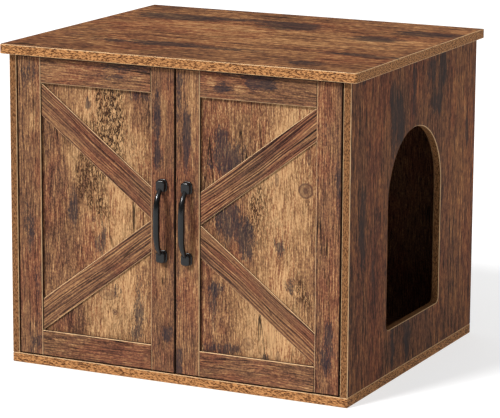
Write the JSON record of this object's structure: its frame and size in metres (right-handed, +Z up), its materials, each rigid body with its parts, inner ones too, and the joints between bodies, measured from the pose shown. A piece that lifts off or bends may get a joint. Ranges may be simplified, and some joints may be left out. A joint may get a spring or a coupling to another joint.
{
  "type": "cat litter box cabinet",
  "caption": "Free-standing wood-effect cabinet that hides a litter tray: two inset barn-style doors on concealed hinges, black arch pulls and an arched entry in its right side.",
  "frame": {"origin": "centre of the base board's underside, on the floor", "axes": "+Z up, -Y towards the doors' front, +X towards the side with the arched entry"},
  "size_m": [0.6, 0.521, 0.505],
  "materials": {
    "rustic_board": "melamine-faced board with a rustic brown plank print, satin",
    "back_board": "thin hardboard with the same print, matte",
    "dowel_beech": "raw fluted beech",
    "black_metal": "satin black powder coat on cast zinc",
    "nickel_steel": "nickel-plated pressed steel",
    "zinc": "bright zinc plate",
    "magnet": "dark sintered magnet",
    "brown_plastic": "moulded, matte"
  },
  "bodies": {
    "carcass": {"back_panel": "back_board", "base_panel": "rustic_board", "cam_bolts": "zinc", "cam_locks": "zinc", "catch_housing": "brown_plastic", "catch_magnets": "magnet", "catch_screws": "zinc", "left_lower_hinge_arm": "nickel_steel", "left_lower_hinge_plate": "nickel_steel", "left_plate_screws": "zinc", "left_side_panel": "rustic_board", "left_upper_hinge_arm": "nickel_steel", "left_upper_hinge_plate": "nickel_steel", "right_lower_hinge_arm": "nickel_steel", "right_lower_hinge_plate": "nickel_steel", "right_plate_screws": "zinc", "right_side_panel": "rustic_board", "right_upper_hinge_arm": "nickel_steel", "right_upper_hinge_plate": "nickel_steel", "top_panel": "rustic_board", "wood_dowels": "dowel_beech"},
    "left_inner_links": {"left_lower_hinge_inner_link": "nickel_steel", "left_upper_hinge_inner_link": "nickel_steel"},
    "left_outer_links": {"left_lower_hinge_outer_link": "nickel_steel", "left_upper_hinge_outer_link": "nickel_steel"},
    "left_door": {"left_bottom_rail": "rustic_board", "left_cup_screws": "zinc", "left_door_slab": "rustic_board", "left_hinge_stile": "rustic_board", "left_lower_brace": "rustic_board", "left_lower_hinge_cup": "nickel_steel", "left_meeting_stile": "rustic_board", "left_pull_handle": "black_metal", "left_pull_screws": "zinc", "left_strike_plate": "nickel_steel", "left_strike_screw": "zinc", "left_top_rail": "rustic_board", "left_upper_brace": "rustic_board", "left_upper_hinge_cup": "nickel_steel"},
    "right_inner_links": {"right_lower_hinge_inner_link": "nickel_steel", "right_upper_hinge_inner_link": "nickel_steel"},
    "right_outer_links": {"right_lower_hinge_outer_link": "nickel_steel", "right_upper_hinge_outer_link": "nickel_steel"},
    "right_door": {"right_bottom_rail": "rustic_board", "right_cup_screws": "zinc", "right_door_slab": "rustic_board", "right_hinge_stile": "rustic_board", "right_lower_brace": "rustic_board", "right_lower_hinge_cup": "nickel_steel", "right_meeting_stile": "rustic_board", "right_pull_handle": "black_metal", "right_pull_screws": "zinc", "right_strike_plate": "nickel_steel", "right_strike_screw": "zinc", "right_top_rail": "rustic_board", "right_upper_brace": "rustic_board", "right_upper_hinge_cup": "nickel_steel"}
  },
  "joints": [
    {"name": "left_inner_link_swing", "type": "hinge", "parent": "carcass", "child": "left_inner_links", "pos_m": [-0.2464, -0.2403, 0.2525], "axis": [0, 0, -1], "range_deg": [0, 19.39]},
    {"name": "left_door_swing", "type": "hinge", "parent": "left_inner_links", "child": "left_door", "pos_m": [-0.258, -0.2398, 0.2525], "axis": [0, 0, -1], "range_deg": [0, 75.66]},
    {"name": "left_outer_link_swing", "type": "hinge", "parent": "carcass", "child": "left_outer_links", "pos_m": [-0.2534, -0.2399, 0.2525], "axis": [0, 0, -1], "range_deg": [0, 73.18]},
    {"name": "right_inner_link_swing", "type": "hinge", "parent": "carcass", "child": "right_inner_links", "pos_m": [0.2464, -0.2403, 0.2525], "axis": [0, 0, 1], "range_deg": [0, 19.39]},
    {"name": "right_door_swing", "type": "hinge", "parent": "right_inner_links", "child": "right_door", "pos_m": [0.258, -0.2398, 0.2525], "axis": [0, 0, 1], "range_deg": [0, 75.66]},
    {"name": "right_outer_link_swing", "type": "hinge", "parent": "carcass", "child": "right_outer_links", "pos_m": [0.2534, -0.2399, 0.2525], "axis": [0, 0, 1], "range_deg": [0, 73.18]}
  ],
  "couplings": [
    {"joint": "left_inner_link_swing", "follows": "left_door_swing", "ratio": 0.25565},
    {"joint": "left_outer_link_swing", "follows": "left_door_swing", "ratio": 0.9666},
    {"joint": "right_inner_link_swing", "follows": "right_door_swing", "ratio": 0.25565},
    {"joint": "right_outer_link_swing", "follows": "right_door_swing", "ratio": 0.9666}
  ]
}
